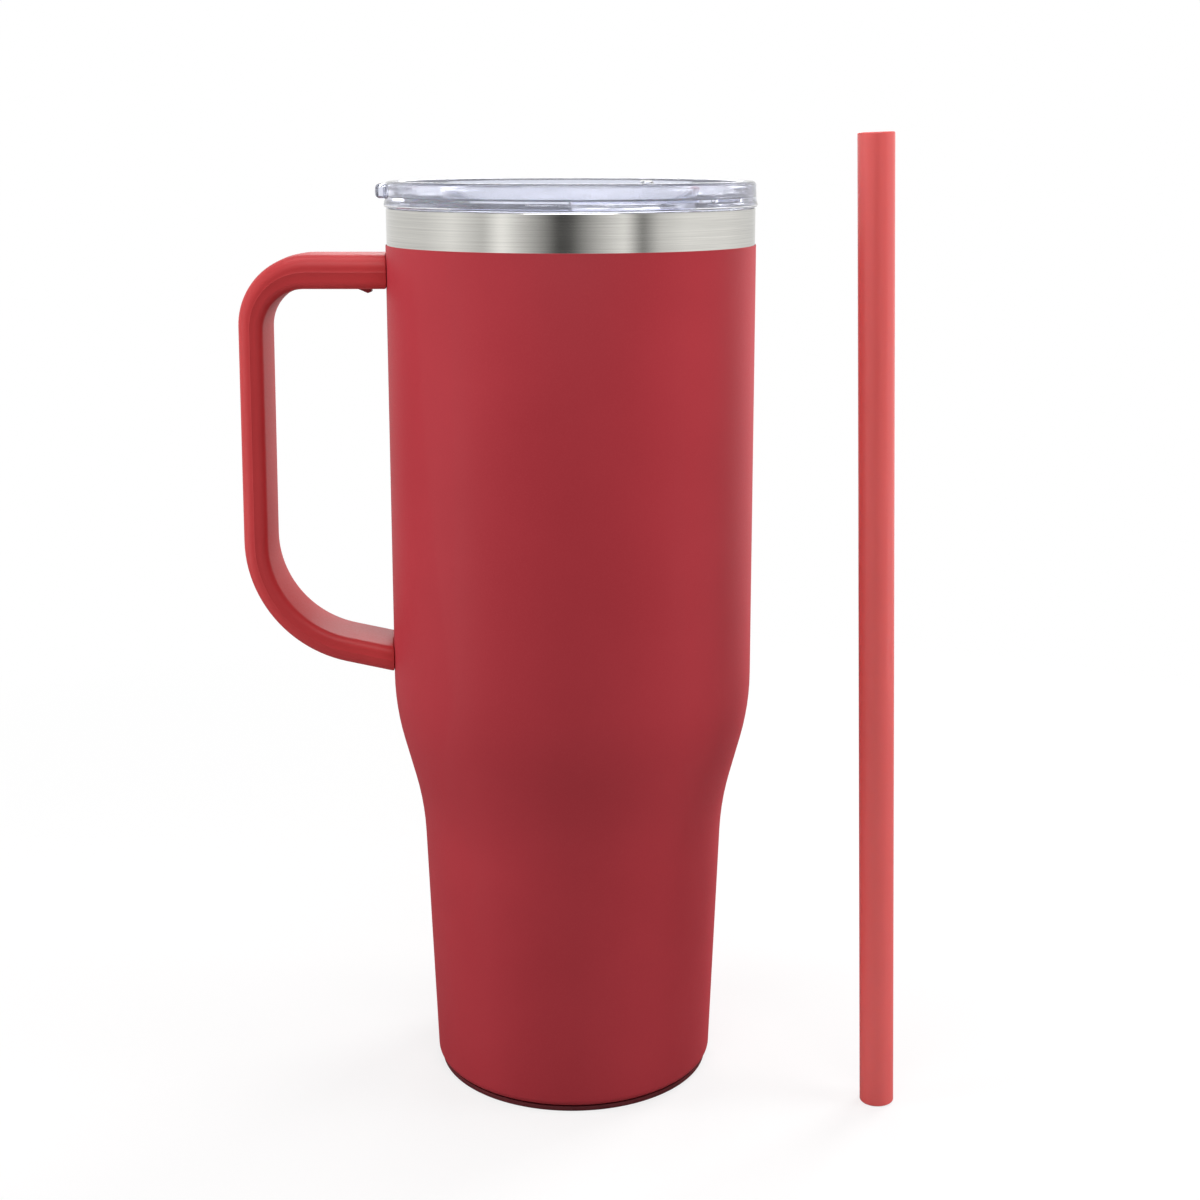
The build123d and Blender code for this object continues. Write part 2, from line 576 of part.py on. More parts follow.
with BuildPart() as slider_pad:
    with BuildSketch(Plane.XY.offset(slider_low_z - SLIDER_PAD_HANG)):
        with Locations((SIP_X, 0)):
            RectangleRounded(SLIDER_PAD_L, SLIDER_PAD_W, 4.5)
    extrude(amount=SLIDER_PAD_T)
slider_pad.part.label = "slider_pad"
export_step(slider_pad.part, "parts/slider_pad.step")

with BuildPart() as slider_keeper:
    with BuildSketch(Plane.XY.offset(keeper_top_z - KEEPER_T)):
        with Locations((STEM_X, 0)):
            RectangleRounded(KEEPER_L, KEEPER_W, 2.5)
            RectangleRounded(STEM_L, STEM_W, 0.7, mode=Mode.SUBTRACT)
    extrude(amount=KEEPER_T)
slider_keeper.part.label = "slider_keeper"
export_step(slider_keeper.part, "parts/slider_keeper.step")

# ================================================================ straw
lean = radians(STRAW_LEAN)
straw_plane = Plane(
    origin=(STRAW_X, STRAW_Y, STRAW_R * sin(lean)),
    x_dir=(cos(lean), 0, sin(lean)),
    z_dir=(-sin(lean), 0, cos(lean)),
)
with BuildPart() as straw:
    with BuildSketch(straw_plane):
        Circle(STRAW_R)
        Circle(STRAW_R - STRAW_T, mode=Mode.SUBTRACT)
    extrude(amount=STRAW_L)
    fillet(straw.edges().filter_by(GeomType.CIRCLE), STRAW_ROUND)
straw.part.label = "straw"
export_step(straw.part, "parts/straw.step")
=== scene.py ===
"""Studio scene of an insulated travel mug and its straw: pieces, materials, light and camera."""

from math import cos, degrees, pi, radians, sin, sqrt, tan

import bpy
import bmesh
from mathutils import Matrix, Vector


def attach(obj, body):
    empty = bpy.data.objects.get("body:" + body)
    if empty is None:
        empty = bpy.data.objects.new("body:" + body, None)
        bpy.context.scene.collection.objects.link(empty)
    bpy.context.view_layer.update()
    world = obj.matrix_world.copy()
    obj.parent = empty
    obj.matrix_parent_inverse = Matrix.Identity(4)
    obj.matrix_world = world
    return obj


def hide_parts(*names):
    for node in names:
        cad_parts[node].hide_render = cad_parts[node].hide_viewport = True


# Shapes are drawn in millimetres and scaled to metres by to_object. The floor, lights and camera
# are in metres. The mug stands on z = 0 with its axis at the origin, and its handle points to -x.
MM = 0.001
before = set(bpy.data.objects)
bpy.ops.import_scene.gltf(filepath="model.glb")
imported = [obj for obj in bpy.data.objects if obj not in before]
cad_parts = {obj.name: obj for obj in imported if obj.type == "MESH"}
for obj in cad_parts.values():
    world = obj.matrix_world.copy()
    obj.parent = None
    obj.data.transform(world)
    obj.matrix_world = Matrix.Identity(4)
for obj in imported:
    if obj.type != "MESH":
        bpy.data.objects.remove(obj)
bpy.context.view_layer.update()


# ---------------------------------------------------------------- mesh helpers
def rounded(corners, step=12.0):
    """Points of a line through (a, b, radius) corners, with arcs of that radius at them."""
    points = []
    for k, (a, b, radius) in enumerate(corners):
        here = Vector((a, b))
        if not radius:
            points.append((a, b))
            continue
        to_last = (Vector(corners[k - 1][:2]) - here).normalized()
        to_next = (Vector(corners[(k + 1) % len(corners)][:2]) - here).normalized()
        half = to_last.angle(to_next) / 2
        centre = here + (to_last + to_next).normalized() * radius / sin(half)
        arm = here + to_last * radius / tan(half) - centre
        end_arm = here + to_next * radius / tan(half) - centre
        sweep = pi - 2 * half
        turn = sweep if arm.cross(end_arm) > 0 else -sweep
        count = max(2, int(degrees(sweep) / step) + 1)
        for i in range(count + 1):
            t = turn * i / count
            points.append((
                centre.x + arm.x * cos(t) - arm.y * sin(t),
                centre.y + arm.x * sin(t) + arm.y * cos(t),
            ))
    return points


def to_object(name, bm, material, body, replaced=(), sharp=32.0):
    """Turns a bmesh in millimetres into a finished, smooth-shaded piece."""
    bmesh.ops.remove_doubles(bm, verts=bm.verts, dist=1e-4)
    bmesh.ops.dissolve_degenerate(bm, edges=bm.edges, dist=1e-5)
    bmesh.ops.recalc_face_normals(bm, faces=bm.faces)
    bmesh.ops.scale(bm, vec=(MM, MM, MM), verts=bm.verts)
    mesh = bpy.data.meshes.new(name)
    bm.to_mesh(mesh)
    bm.free()
    mesh.shade_smooth()
    mesh.set_sharp_from_angle(angle=radians(sharp))
    piece = bpy.data.objects.new(name, mesh)
    bpy.context.scene.collection.objects.link(piece)
    mesh.materials.append(material)
    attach(piece, body)
    if replaced:
        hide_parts(*replaced)
    return piece


def lathe(loop, segments=192):
    """Closed (radius, height) loop turned about the vertical axis."""
    bm = bmesh.new()
    rings = []
    for k in range(segments):
        angle = 2 * pi * k / segments
        rings.append([bm.verts.new((r * cos(angle), r * sin(angle), z)) for r, z in loop])
    for k in range(segments):
        ring, after = rings[k], rings[(k + 1) % segments]
        for i in range(len(loop)):
            j = (i + 1) % len(loop)
            bm.faces.new((ring[i], after[i], after[j], ring[j]))
    return bm


def block(low, high, corner, edge=0.0, flare=0.0):
    """Upright block between two corners. The outline's corners are round.

    The two end edges are rounded by edge, or, on a tool for an opening, widened by flare.
    """
    x0, y0, z0 = low
    x1, y1, z1 = high
    outline = rounded([(x0, y0, corner), (x1, y0, corner), (x1, y1, corner), (x0, y1, corner)], 9.0)
    middle = Vector(((x0 + x1) / 2, (y0 + y1) / 2))
    levels = [(z0, -flare if flare else edge)]
    if edge:
        for k in range(1, 5):
            turn = pi / 2 * k / 4
            levels.append((z0 + edge * (1 - cos(turn)), edge * (1 - sin(turn))))
        levels += [(z0 + z1 - z, inset) for z, inset in reversed(levels)]
    elif flare:
        levels += [(z0 + 2 * flare, 0.0), (z1 - 2 * flare, 0.0), (z1, -flare)]
    else:
        levels.append((z1, 0.0))
    bm = bmesh.new()
    rings = []
    for z, inset in levels:
        ring = []
        for x, y in outline:
            arm = Vector((x, y)) - middle
            spot = middle + Vector((
                arm.x * (1 - inset / ((x1 - x0) / 2)), arm.y * (1 - inset / ((y1 - y0) / 2)),
            ))
            ring.append(bm.verts.new((spot.x, spot.y, z)))
        rings.append(ring)
    for ring, after in zip(rings, rings[1:]):
        for i in range(len(ring)):
            j = (i + 1) % len(ring)
            bm.faces.new((ring[i], ring[j], after[j], after[i]))
    bm.faces.new(list(reversed(rings[0])))
    bm.faces.new(rings[-1])
    return bm


def round_pin(x, y, z_low, z_high, radius):
    """Upright pin: a block whose corner arcs all but meet."""
    return block(
        (x - radius, y - radius, z_low), (x + radius, y + radius, z_high), radius - 0.01,
    )


def combined(base, operation, *others):
    """The bmesh base joined with, or cut by, each of the others, which are used up."""
    def as_object(bm):
        bmesh.ops.remove_doubles(bm, verts=bm.verts, dist=1e-4)
        bmesh.ops.dissolve_degenerate(bm, edges=bm.edges, dist=1e-5)
        bmesh.ops.recalc_face_normals(bm, faces=bm.faces)
        mesh = bpy.data.meshes.new("working")
        bm.to_mesh(mesh)
        bm.free()
        made = bpy.data.objects.new("working", mesh)
        bpy.context.scene.collection.objects.link(made)
        return made

    target = as_object(base)
    tools = [as_object(bm) for bm in others]
    for tool in tools:
        modifier = target.modifiers.new("boolean", "BOOLEAN")
        modifier.operation = operation
        modifier.solver = "MANIFOLD"
        modifier.object = tool
    finished = target.evaluated_get(bpy.context.evaluated_depsgraph_get())
    shape = bpy.data.meshes.new_from_object(finished)
    result = bmesh.new()
    result.from_mesh(shape)
    bpy.data.meshes.remove(shape)
    for made in (target, *tools):
        mesh = made.data
        bpy.data.objects.remove(made)
        bpy.data.meshes.remove(mesh)
    return result


# ---------------------------------------------------------------- material helper
class Graph:
    """One procedural material: a Principled shader and the nodes that feed it."""

    def __init__(self, name, **sockets):
        self.material = bpy.data.materials.new(name)
        self.material.use_nodes = True
        self.nodes = self.material.node_tree.nodes
        self.links = self.material.node_tree.links
        self.shader = self.nodes["Principled BSDF"]
        for socket, value in sockets.items():
            self.shader.inputs[socket.replace("_", " ")].default_value = value
        self.place = self.node("ShaderNodeTexCoord").outputs["Object"]

    def node(self, kind, inputs=None, **settings):
        made = self.nodes.new(kind)
        for key, value in settings.items():
            setattr(made, key, value)
        for key, value in (inputs or {}).items():
            if isinstance(value, bpy.types.NodeSocket):
                self.links.new(value, made.inputs[key])
            else:
                made.inputs[key].default_value = value
        return made

    def stretch(self, x, y, z):
        """The object's own coordinates, scaled along each axis."""
        return self.node("ShaderNodeMapping", {"Vector": self.place, "Scale": (x, y, z)}).outputs[0]

    def noise(self, place, scale=1.0, detail=3.0, rough=0.55):
        made = self.node("ShaderNodeTexNoise", {
            "Vector": place, "Scale": scale, "Detail": detail, "Roughness": rough,
        })
        return made.outputs["Fac"]

    def fit(self, value, low, high, from_low=0.3, from_high=0.7):
        """A value spread over low to high. Noise lies mostly between 0.3 and 0.7."""
        made = self.node("ShaderNodeMapRange", {
            "Value": value,
            "From Min": from_low, "From Max": from_high,
            "To Min": low, "To Max": high,
        })
        return made.outputs["Result"]

    def math(self, operation, a, b=0.0):
        return self.node("ShaderNodeMath", {0: a, 1: b}, operation=operation).outputs[0]

    def blend(self, factor, a, b):
        made = self.node("ShaderNodeMix", {"Factor": factor}, data_type="RGBA")
        for socket, value in zip([s for s in made.inputs if s.type == "RGBA"], (a, b)):
            if isinstance(value, bpy.types.NodeSocket):
                self.links.new(value, socket)
            else:
                socket.default_value = (*value, 1.0)
        return [s for s in made.outputs if s.type == "RGBA"][0]

    def bumps(self, *layers):
        """Bump layers, each a height, a strength and a depth in metres."""
        normal = None
        for height, strength, depth in layers:
            inputs = {"Height": height, "Strength": strength, "Distance": depth}
            if normal is not None:
                inputs["Normal"] = normal
            normal = self.node("ShaderNodeBump", inputs).outputs[0]
        self.links.new(normal, self.shader.inputs["Normal"])

    def drive(self, socket, value):
        self.links.new(value, self.shader.inputs[socket])


def powder_coat():
    """Matt paint with fine specks and a faint orange peel."""
    g = Graph("powder_coat_red", Roughness=0.5, Specular_IOR_Level=0.18)
    broad = g.noise(g.place, 26.0, 2.0)
    grain = g.noise(g.place, 2600.0, 4.0, 0.65)
    peel = g.noise(g.place, 620.0, 2.0)
    tone = g.blend(g.fit(broad, 0.0, 1.0), COAT_DARK, COAT_LIGHT)
    speck = g.blend(g.fit(grain, 0.0, 0.35, 0.45, 0.75), tone, COAT_SPECK)
    g.drive("Base Color", speck)
    g.drive("Roughness", g.fit(grain, 0.46, 0.6))
    g.bumps((peel, 0.12, 0.0002), (grain, 0.2, 0.00008))
    return g.material


def handle_plastic():
    """Moulded plastic with a fine grain and a soft sheen."""
    g = Graph("handle_red", Specular_IOR_Level=0.22, Coat_Weight=0.15, Coat_Roughness=0.35)
    broad = g.noise(g.place, 40.0, 2.0)
    grain = g.noise(g.place, 1700.0, 3.0, 0.6)
    g.drive("Base Color", g.blend(g.fit(broad, 0.0, 1.0), HANDLE_DARK, HANDLE_LIGHT))
    g.drive("Roughness", g.fit(grain, 0.45, 0.58))
    g.bumps((broad, 0.02, 0.0004), (grain, 0.2, 0.00006))
    return g.material


def straw_plastic():
    """Drawn tube, with faint lines along it."""
    g = Graph("straw_red", Specular_IOR_Level=0.5, Subsurface_Weight=0.15, Subsurface_Scale=0.002)
    drawn = g.noise(g.stretch(900.0, 900.0, 6.0), 1.0, 2.0)
    broad = g.noise(g.stretch(30.0, 30.0, 12.0), 1.0, 2.0)
    g.drive("Base Color", g.blend(g.fit(broad, 0.0, 1.0), STRAW_DARK, STRAW_LIGHT))
    g.drive("Roughness", g.fit(drawn, 0.3, 0.4))
    g.bumps((drawn, 0.25, 0.0001))
    return g.material


def brushed_steel(name, dark, light, roughness, spun=False, anisotropy=0.6):
    """Steel with fine lines: rings of one height, or with spun, rings of one radius."""
    g = Graph(name, Metallic=1.0, Anisotropic=anisotropy, Anisotropic_Rotation=0.25)
    if spun:
        flat = g.node(
            "ShaderNodeVectorMath", {0: g.place, 1: (1.0, 1.0, 0.0)}, operation="MULTIPLY",
        ).outputs[0]
        radius = g.node("ShaderNodeVectorMath", {0: flat}, operation="LENGTH").outputs["Value"]
        spread = g.math("MULTIPLY", radius, 4200.0)
        line_place = g.node("ShaderNodeCombineXYZ", {0: spread}).outputs[0]
    else:
        line_place = g.stretch(22.0, 22.0, 5200.0)
    lines = g.noise(line_place, 1.0, 4.0, 0.7)
    broad = g.noise(g.stretch(40.0, 40.0, 260.0), 1.0, 3.0)
    g.drive("Base Color", g.blend(g.fit(lines, 0.0, 1.0), dark, light))
    fine = g.fit(lines, roughness - 0.03, roughness + 0.04)
    g.drive("Roughness", g.math("ADD", fine, g.fit(broad, -0.02, 0.02)))
    tangent = g.node("ShaderNodeTangent", direction_type="RADIAL", axis="Z")
    g.drive("Tangent", tangent.outputs[0])
    g.bumps((lines, 0.18, 0.00004), (broad, 0.06, 0.0002))
    return g.material


def dull_metal(name, dark, light, roughness, scale=900.0):
    """Pressed or foil metal with an even grain."""
    g = Graph(name, Metallic=1.0)
    grain = g.noise(g.place, scale, 4.0, 0.65)
    broad = g.noise(g.place, 120.0, 2.0)
    g.drive("Base Color", g.blend(g.fit(broad, 0.0, 1.0), dark, light))
    g.drive("Roughness", g.fit(grain, roughness - 0.08, roughness + 0.12))
    g.bumps((grain, 0.3, 0.00006))
    return g.material


def silicone(name, dark, light, roughness, soft=0.0):
    """Rubber or silicone, a little dusty."""
    g = Graph(name, Specular_IOR_Level=0.4, Subsurface_Weight=soft, Subsurface_Scale=0.0015)
    grain = g.noise(g.place, 1900.0, 3.0)
    dust = g.noise(g.place, 160.0, 4.0, 0.7)
    g.drive("Base Color", g.blend(g.fit(dust, 0.0, 1.0, 0.35, 0.75), dark, light))
    g.drive("Roughness", g.fit(grain, roughness - 0.06, roughness + 0.08))
    g.bumps((grain, 0.3, 0.00006))
    return g.material


def clear_plastic(name, tint, roughness, clear=1.0):
    """Clear moulding, with faint flow waves."""
    g = Graph(name, Base_Color=(*tint, 1.0), Transmission_Weight=clear, IOR=1.5)
    flow = g.noise(g.stretch(38.0, 60.0, 90.0), 1.0, 2.0)
    fine = g.noise(g.place, 1500.0, 2.0)
    g.drive("Roughness", g.fit(fine, roughness, roughness + 0.03))
    g.bumps((flow, 0.25, 0.0008))
    return g.material


# ---------------------------------------------------------------- colours, linear
COAT_DARK = (0.385, 0.030, 0.041)
COAT_LIGHT = (0.415, 0.034, 0.046)
COAT_SPECK = (0.47, 0.052, 0.062)
HANDLE_DARK = (0.50, 0.038, 0.042)
HANDLE_LIGHT = (0.54, 0.044, 0.048)
STRAW_DARK = (0.76, 0.112, 0.107)
STRAW_LIGHT = (0.80, 0.127, 0.122)

coat_red = powder_coat()
handle_red = handle_plastic()
straw_red = straw_plastic()
steel = brushed_steel("brushed_steel", (0.52, 0.51, 0.49), (0.68, 0.67, 0.64), 0.14)
steel_inside = brushed_steel(
    "liner_steel", (0.70, 0.69, 0.68), (0.79, 0.78, 0.76), 0.3, anisotropy=0.4,
)
steel_spun = brushed_steel("spun_steel", (0.45, 0.44, 0.43), (0.6, 0.59, 0.57), 0.3, spun=True)
steel_dull = dull_metal("pressed_steel", (0.36, 0.35, 0.34), (0.46, 0.45, 0.44), 0.42)
steel_screw = dull_metal("screw_steel", (0.5, 0.5, 0.5), (0.6, 0.6, 0.6), 0.3, 1600.0)
copper = dull_metal("copper_foil", (0.6, 0.27, 0.17), (0.72, 0.36, 0.24), 0.25, 400.0)
getter_grey = dull_metal("getter_grey", (0.09, 0.09, 0.095), (0.14, 0.14, 0.15), 0.6, 2500.0)
solder = dull_metal("solder_bead", (0.12, 0.115, 0.11), (0.2, 0.19, 0.18), 0.3, 700.0)
# The foot pad's dark maroon is painted shade: it stands for the shadowed band under the mug's
# bottom edge.
pad_painted_shade = silicone("pad_painted_shade", (0.09, 0.010, 0.014), (0.13, 0.018, 0.022), 0.62)
cover_red = silicone("cover_red", (0.33, 0.03, 0.036), (0.38, 0.04, 0.045), 0.55)
seal_milky = silicone("seal_milky", (0.62, 0.64, 0.67), (0.72, 0.73, 0.76), 0.4, soft=0.4)
lid_clear = clear_plastic("lid_clear", (0.79, 0.81, 0.92), 0.06, 0.88)
slider_clear = clear_plastic("slider_clear", (0.93, 0.94, 0.975), 0.03)

# Pieces that keep their CAD mesh.
for node, material in (
    ("copper_foil", copper), ("shell_bottom", steel_dull), ("vacuum_seal", solder),
    ("getter_pill", getter_grey), ("getter_strap", steel_dull), ("upper_lug", steel_dull),
    ("lower_lug", steel_dull), ("upper_screw", steel_screw), ("lower_screw", steel_screw),
    ("upper_cover", cover_red), ("lower_cover", cover_red), ("lid_seal", seal_milky),
    ("straw_grommet", seal_milky), ("slider", slider_clear),
    ("slider_pad", seal_milky), ("slider_keeper", slider_clear),
):
    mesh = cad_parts[node].data
    mesh.materials.clear()
    mesh.materials.append(material)

# ---------------------------------------------------------------- wall profile, millimetres
# SHOULDER and WAIST are corners of the outside wall: radius, height and bend radius.
LIP_Z, LIP_R, LIP_MID_R = 249.0, 50.0, 49.5
SHOULDER = (50.65, 109.7, 70.0)
WAIST = (43.0, 80.7, 85.0)
FOOT_R, FOOT_Z, FOOT_BEND, FOOT_HOLE_R = 40.15, 1.9, 2.2, 30.0
SHELL_T = 0.5
LINER_INSET, LINER_T = 3.7, 0.4
LINER_FLOOR_Z, LINER_BEND = 11.0, 9.0
COAT_T, COAT_TOP_Z, COAT_IN_R = 0.3, 239.2, 38.3
FLARE_LOW_Z, FLARE_TOP_Z, VACUUM_GAP = 238.6, 245.2, 3.2
FLARE_STEPS = 12


def wall_r(z, inset=0.0):
    """Radius of the straight upper wall at a height."""
    return LIP_R + (SHOULDER[0] - LIP_R) * (LIP_Z - z) / (LIP_Z - SHOULDER[1]) - inset


def wall_line(inset, top_z, floor_z, bend, end_r):
    """A face of the wall, inset from its outside: down, round the foot, in along the floor."""
    foot_r = FOOT_R + (WAIST[0] - FOOT_R) * (floor_z - FOOT_Z) / (WAIST[1] - FOOT_Z) - inset
    corners = [
        (wall_r(top_z, inset), top_z, 0),
        (SHOULDER[0] - inset, SHOULDER[1], SHOULDER[2] - inset),
        (WAIST[0] - inset, WAIST[1], WAIST[2] + inset),
        (foot_r, floor_z, bend),
        (end_r, floor_z, 0),
    ]
    return rounded(corners, step=1.5 if bend > 5 else 3.0)


def coat_r(z):
    """Outside radius of the painted wall at a height."""
    line = wall_line(-COAT_T, LIP_Z, FOOT_Z - COAT_T, FOOT_BEND + COAT_T, COAT_IN_R)
    for (r0, z0), (r1, z1) in zip(line, line[1:]):
        if z1 <= z <= z0 and z0 > z1:
            return r0 + (r1 - r0) * (z0 - z) / (z0 - z1)
    return line[0][0]


# ---------------------------------------------------------------- vessel
coat_out = wall_line(-COAT_T, COAT_TOP_Z, FOOT_Z - COAT_T, FOOT_BEND + COAT_T, COAT_IN_R)
coat_in = wall_line(0.0, COAT_TOP_Z, FOOT_Z, FOOT_BEND, COAT_IN_R)
edge_r = coat_out[0][0]
coat_loop = [(edge_r - 0.22, COAT_TOP_Z), (edge_r - 0.08, COAT_TOP_Z - 0.04)]
coat_loop += [(edge_r, COAT_TOP_Z - 0.2)] + coat_out[1:]
coat_loop += list(reversed(coat_in[1:])) + [(LIP_R + 0.05, COAT_TOP_Z - 0.3)]
to_object("coat_skin", lathe(coat_loop, 256), coat_red, "vessel", ("powder_coat",))

shell_out = wall_line(0.0, LIP_Z, FOOT_Z, FOOT_BEND, FOOT_HOLE_R)
shell_in = wall_line(SHELL_T, LIP_Z, FOOT_Z + SHELL_T, FOOT_BEND - SHELL_T, FOOT_HOLE_R)
lip_out = [(LIP_MID_R, LIP_Z), (LIP_MID_R + 0.16, LIP_Z - 0.01), (LIP_MID_R + 0.32, LIP_Z - 0.08)]
lip_out += [(LIP_MID_R + 0.44, LIP_Z - 0.2), (LIP_R, LIP_Z - 0.42)]
shell_loop = lip_out + shell_out[1:] + list(reversed(shell_in))
to_object("shell_steel", lathe(shell_loop, 256), steel, "vessel", ("outer_shell",))


def liner_line(inset):
    """The liner from the lip, in through the flare and down to the middle of its floor."""
    deeper = inset - LINER_INSET
    wall = wall_line(inset, FLARE_LOW_Z, LINER_FLOOR_Z + deeper, LINER_BEND - deeper, 0.0)
    flare = []
    for k in range(FLARE_STEPS + 1):
        t = k / FLARE_STEPS
        z = FLARE_TOP_Z + (FLARE_LOW_Z - FLARE_TOP_Z) * t
        ease = t * t * (3 - 2 * t)
        flare.append((wall_r(z, inset - VACUUM_GAP) - VACUUM_GAP * ease, z))
    return flare + wall[1:]


liner_out = liner_line(LINER_INSET)
liner_in = liner_line(LINER_INSET + LINER_T)
mouth_r = liner_in[0][0]
lip_in = [(LIP_MID_R, LIP_Z), (LIP_MID_R - 0.16, LIP_Z - 0.01), (LIP_MID_R - 0.32, LIP_Z - 0.1)]
lip_in += [(mouth_r, LIP_Z - 0.35)]
liner_loop = lip_in + liner_in + list(reversed(liner_out))
to_object("liner_steel", lathe(liner_loop, 256), steel_inside, "vessel", ("inner_liner",))

# ---------------------------------------------------------------- base
PAD_R, PAD_NECK_R, PAD_HOLE_R, PAD_STEP_Z = 39.4, 38.1, 31.8, 1.5
PAD_GROOVES, PAD_GROOVE_DEEP, PAD_GROOVE_ROUND = (33.6, 35.6, 37.6), 0.5, 0.12
PLATE_R, PLATE_LOW_Z = 31.4, FOOT_Z - 0.6
PLATE_GROOVE_R, PLATE_GROOVE_DEEP, PLATE_DISH = 22.2, 0.15, 0.06


def pad_loop():
    """Half section of the foot pad, with three grooves in its underside."""
    corners = [(PAD_R, 0.0, 0.5), (PAD_R, PAD_STEP_Z, 0.25), (PAD_NECK_R, PAD_STEP_Z, 0)]
    corners += [(PAD_NECK_R, FOOT_Z, 0), (PAD_HOLE_R, FOOT_Z, 0), (PAD_HOLE_R, 0.0, 0.3)]
    for middle in PAD_GROOVES:
        for r, z in ((-0.45, 0.0), (-0.35, PAD_GROOVE_DEEP), (0.35, PAD_GROOVE_DEEP), (0.45, 0.0)):
            corners.append((middle + r, z, PAD_GROOVE_ROUND))
    return rounded(corners, 20.0)


def plate_loop():
    """Half section of the base disc: faintly dished, with a ring groove and a rounded edge."""
    low = PLATE_LOW_Z
    groove_z = low + PLATE_GROOVE_DEEP
    corners = [(0.0, low + PLATE_DISH, 0), (PLATE_GROOVE_R - 0.5, low, 0)]
    corners += [(PLATE_GROOVE_R - 0.3, groove_z, 0.1), (PLATE_GROOVE_R + 0.3, groove_z, 0.1)]
    corners += [(PLATE_GROOVE_R + 0.5, low, 0.1), (PLATE_R, low, 0.25)]
    corners += [(PLATE_R, FOOT_Z, 0), (0.0, FOOT_Z, 0)]
    return rounded(corners, 15.0)


# The foot pad's dark maroon colour is painted shade for the shadowed band at the bottom edge.
to_object("pad_ring", lathe(pad_loop()), pad_painted_shade, "vessel", ("base_pad",))
to_object("base_disc", lathe(plate_loop()), steel_spun, "vessel", ("base_plate",))

# ---------------------------------------------------------------- handle
# Drawn as (distance from the mug's axis, height), and turned to -x by build_handle.
WIDTH = 21.0
ROOT_X = 46.0
ARM_TOP, ARM_LOW = 236.6, 227.6
GRIP_OUT, GRIP_IN, LEAN = 90.0, 83.3, tan(radians(1.0))
FALL_ANGLE = radians(12.0)
FALL = tan(FALL_ANGLE)
FOOT_X, FOOT_OUT, FOOT_IN = 54.0, 121.1, 128.5
TOP_BENDS, LOW_BENDS = (19.5, 11.5), (35.0, 27.0)
STRAIGHT_STEPS, BEND_STEPS = 8, 24
OUT_ROUND, IN_ROUND = 3.6, 2.2
CROWN, PARTING = 0.25, 0.08
END_GAP, CLEAR_R = 0.15, 54.5
HEAD_HOLE_R, HEAD_HOLE_H = 3.05, 2.9
UPPER_FIX_X, LOWER_FIX_X = -57.0, -58.5


def handle_line(arm_z, grip_x, foot_z, bend_top, bend_low):
    """Stations along one face of the handle, evenly shared between its straights and bends."""
    corner_x = (grip_x + LEAN * (arm_z - foot_z + FALL * FOOT_X)) / (1 + LEAN * FALL)
    corners = [
        Vector((ROOT_X, arm_z)), Vector((grip_x, arm_z)),
        Vector((corner_x, foot_z + (corner_x - FOOT_X) * FALL)),
        Vector((ROOT_X, foot_z + (ROOT_X - FOOT_X) * FALL)),
    ]
    stations = []
    ends = [corners[0]]
    for k, bend in ((1, bend_top), (2, bend_low)):
        back = (corners[k - 1] - corners[k]).normalized()
        ahead = (corners[k + 1] - corners[k]).normalized()
        half = back.angle(ahead) / 2
        start = corners[k] + back * bend / tan(half)
        centre = corners[k] + (back + ahead).normalized() * bend / sin(half)
        straight = [ends[-1].lerp(start, i / STRAIGHT_STEPS) for i in range(STRAIGHT_STEPS)]
        arc = []
        sweep = pi - 2 * half
        arm = start - centre
        turn = 1 if arm.cross(ahead) > 0 else -1
        for i in range(BEND_STEPS):
            t = turn * sweep * i / BEND_STEPS
            arc.append(centre + Vector((
                arm.x * cos(t) - arm.y * sin(t), arm.x * sin(t) + arm.y * cos(t),
            )))
        stations += straight + arc
        ends.append(corners[k] + ahead * bend / tan(half))
    last = [ends[-1].lerp(corners[3], i / STRAIGHT_STEPS) for i in range(STRAIGHT_STEPS + 1)]
    stations += last
    return stations


def handle_section(thick):
    """Rounded section as (depth from the outer face, across) points, with a faint parting line."""
    half, middle = WIDTH / 2, thick * 0.5
    corners = [
        (0, -half, OUT_ROUND), (middle - 0.2, -half, 0), (middle, -half - PARTING, 0),
        (middle + 0.2, -half, 0), (thick, -half, IN_ROUND), (thick + CROWN, 0, 0),
        (thick, half, IN_ROUND), (middle + 0.2, half, 0), (middle, half + PARTING, 0),
        (middle - 0.2, half, 0), (0, half, OUT_ROUND), (-CROWN, 0, 0),
    ]
    return rounded(corners, 11.0)


def slid_to_wall(row, towards, gap):
    """A section's points, each moved along the arm until it is a gap off the painted wall."""
    slid = []
    for point in row:
        low, high = -40.0, 40.0
        for _ in range(40):
            mid = (low + high) / 2
            spot = point + towards * mid
            outside = sqrt(spot.x ** 2 + spot.y ** 2) > coat_r(spot.z) + gap
            low, high = (mid, high) if outside else (low, mid)
        slid.append(point + towards * low)
    return slid


def drawn_in(row, amount):
    """A section's points moved in towards its middle."""
    centre = sum(row, Vector()) / len(row)
    return [centre + (p - centre) * (1 - amount / max((p - centre).length, 1e-6)) for p in row]


def end_rows(row, towards):
    """Three sections that follow the wall and round off an arm's end, the outermost first."""
    return [
        slid_to_wall(drawn_in(row, 0.45), towards, END_GAP),
        slid_to_wall(drawn_in(row, 0.12), towards, END_GAP + 0.14),
        slid_to_wall(row, towards, END_GAP + 0.5),
    ]


